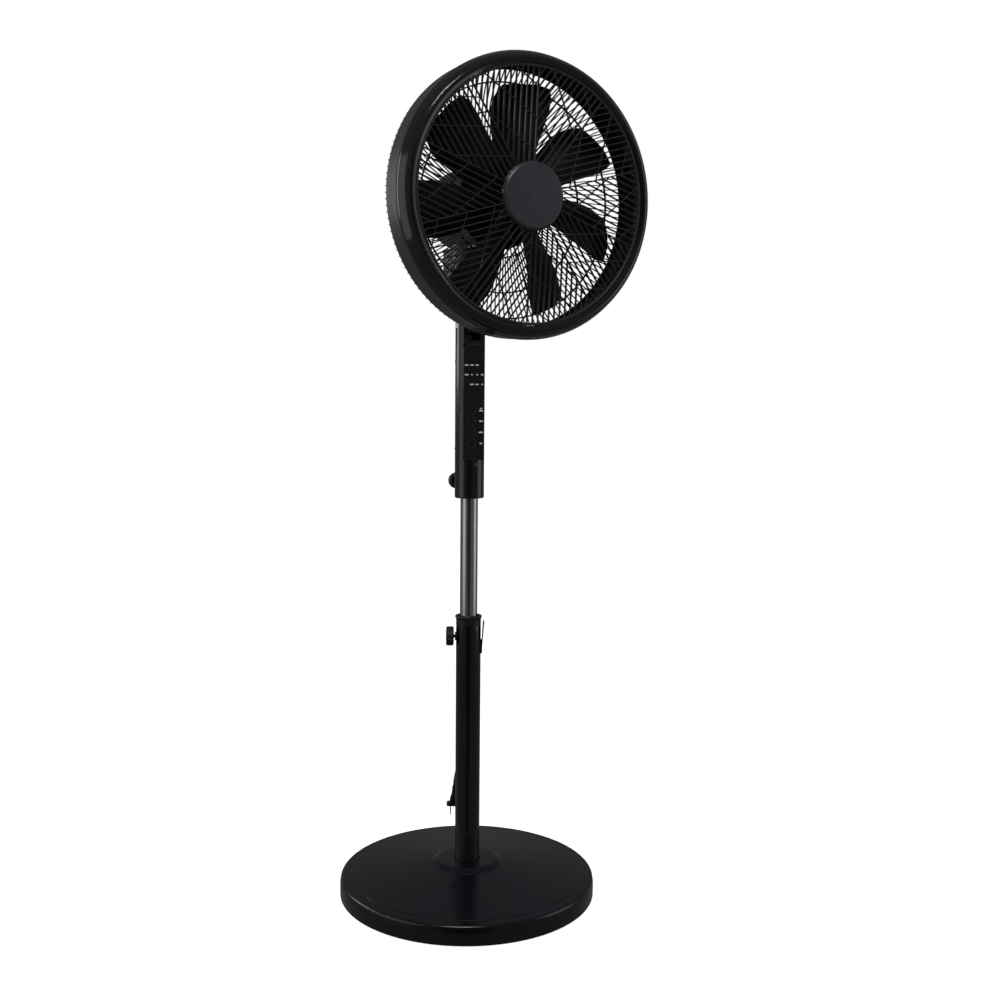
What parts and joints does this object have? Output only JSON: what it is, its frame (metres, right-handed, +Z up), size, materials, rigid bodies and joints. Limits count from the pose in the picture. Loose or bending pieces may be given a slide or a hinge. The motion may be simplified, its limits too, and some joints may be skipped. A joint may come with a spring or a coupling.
{
  "type": "pedestal fan",
  "caption": "Pedestal fan with a round weighted base, telescopic pole, push-button control column and a caged head that tilts and swings.",
  "frame": {"origin": "centre of the round base, on the floor plane under the feet", "axes": "+Z up along the pole; the head blows towards -Y at rest; +X to the right when looking along +Y"},
  "size_m": [0.4, 0.4, 1.2572],
  "materials": {
    "base_plastic": "satin, fine grain",
    "cast_weight": "as cast, painted",
    "zinc_steel": "zinc plated",
    "foot_rubber": "matt",
    "black_moulded": "matt, fine grain",
    "pole_paint": "gloss black powder coat",
    "nylon": "natural nylon",
    "lead_pvc": "satin PVC",
    "tie_band": "hook and loop band",
    "plug_metal": "nickel plated",
    "chrome_tube": "polished",
    "column_plastic": "gloss",
    "panel_gloss": "high gloss",
    "sensor_lens": "clear grey",
    "button_plastic": "satin",
    "board": "green resin",
    "capacitor_case": "off-white",
    "cast_alloy": "die cast",
    "steel": "ground",
    "gear_acetal": "acetal",
    "lamination": "laminated",
    "copper_winding": "enamelled",
    "drum_plastic": "satin",
    "grille_plastic": "satin",
    "ring_plastic": "gloss",
    "cap_plastic": "satin metallic",
    "blade_plastic": "satin"
  },
  "bodies": {
    "stand": {"base_cover": "base_plastic", "base_weight": "cast_weight", "base_screws": "zinc_steel", "rubber_feet": "foot_rubber", "pole_socket": "black_moulded", "lower_tube": "pole_paint", "height_collar": "black_moulded", "collar_bush": "nylon", "cord_hook": "black_moulded", "cord_relief": "lead_pvc", "power_cord": "lead_pvc", "plug_cord": "lead_pvc", "cord_hank": "lead_pvc", "cord_tie": "tie_band", "plug_body": "lead_pvc", "plug_blades": "plug_metal"},
    "height_clamp": {"height_knob": "black_moulded"},
    "mast": {"inner_tube": "chrome_tube", "tube_guide": "nylon", "column_front_shell": "column_plastic", "column_rear_shell": "column_plastic", "column_screws": "zinc_steel", "tube_clamp": "black_moulded", "remote_sensor": "sensor_lens", "control_panel": "panel_gloss", "circuit_board": "board", "run_capacitor": "capacitor_case", "tilt_fork": "column_plastic", "tilt_bolt_set": "zinc_steel"},
    "column_clamp": {"column_knob": "black_moulded"},
    "power_key": {"power_button": "button_plastic"},
    "speed_key": {"speed_button": "button_plastic"},
    "swing_key": {"swing_button": "button_plastic"},
    "timer_key": {"timer_button": "button_plastic"},
    "neck": {"neck_bracket": "black_moulded", "swivel_pin": "steel", "swing_sector": "gear_acetal", "swivel_washers": "steel"},
    "head": {"swivel_bracket": "cast_alloy", "swing_motor": "zinc_steel", "swing_housing": "drum_plastic", "motor_front_housing": "cast_alloy", "motor_rear_housing": "cast_alloy", "stator_core": "lamination", "stator_windings": "copper_winding", "motor_bearings": "steel", "motor_cover": "drum_plastic", "guard_drum": "drum_plastic", "rear_grille": "grille_plastic", "guard_nut": "black_moulded", "front_ring": "ring_plastic", "front_grille": "grille_plastic", "hub_cap": "cap_plastic", "ring_clips": "black_moulded"},
    "swing_gear": {"swing_pinion": "gear_acetal"},
    "rotor": {"motor_shaft": "steel", "rotor_core": "lamination", "fan_blade": "blade_plastic", "blade_nut": "black_moulded", "drive_pin": "steel"}
  },
  "joints": [
    {"name": "height_slide", "type": "slide", "parent": "stand", "child": "mast", "axis": [0, 0, 1], "range_m": [-0.17, 0.035]},
    {"name": "height_knob_turn", "type": "hinge", "parent": "stand", "child": "height_clamp", "pos_m": [0, 0, 0.412], "axis": [-0.8854, 0.4648, 0], "range_deg": [0, 180]},
    {"name": "column_knob_turn", "type": "hinge", "parent": "mast", "child": "column_clamp", "pos_m": [0, 0, 0.651], "axis": [0, 1, 0], "range_deg": [0, 180]},
    {"name": "head_tilt", "type": "hinge", "parent": "mast", "child": "neck", "pos_m": [0, 0, 0.893], "axis": [-1, 0, 0], "range_deg": [-8, 20]},
    {"name": "head_swing", "type": "hinge", "parent": "neck", "child": "head", "pos_m": [0, 0, 0.96], "axis": [0, 0, 1], "range_deg": [-45, 45]},
    {"name": "pinion_turn", "type": "hinge", "parent": "head", "child": "swing_gear", "pos_m": [0, 0.03, 0.963], "axis": [0, 0, 1], "range_deg": [-230, 230]},
    {"name": "blade_spin", "type": "hinge", "parent": "head", "child": "rotor", "pos_m": [0, 0, 1.0624], "axis": [0, 1, 0], "continuous": true},
    {"name": "power_press", "type": "slide", "parent": "mast", "child": "power_key", "axis": [0, 1, 0], "range_m": [0, 0.0007], "stiffness_N_per_m": 400, "springref_m": -0.0015},
    {"name": "speed_press", "type": "slide", "parent": "mast", "child": "speed_key", "axis": [0, 1, 0], "range_m": [0, 0.0007], "stiffness_N_per_m": 400, "springref_m": -0.0015},
    {"name": "swing_press", "type": "slide", "parent": "mast", "child": "swing_key", "axis": [0, 1, 0], "range_m": [0, 0.0007], "stiffness_N_per_m": 400, "springref_m": -0.0015},
    {"name": "timer_press", "type": "slide", "parent": "mast", "child": "timer_key", "axis": [0, 1, 0], "range_m": [0, 0.0007], "stiffness_N_per_m": 400, "springref_m": -0.0015}
  ],
  "couplings": [
    {"joint": "pinion_turn", "follows": "head_swing", "ratio": 4}
  ]
}
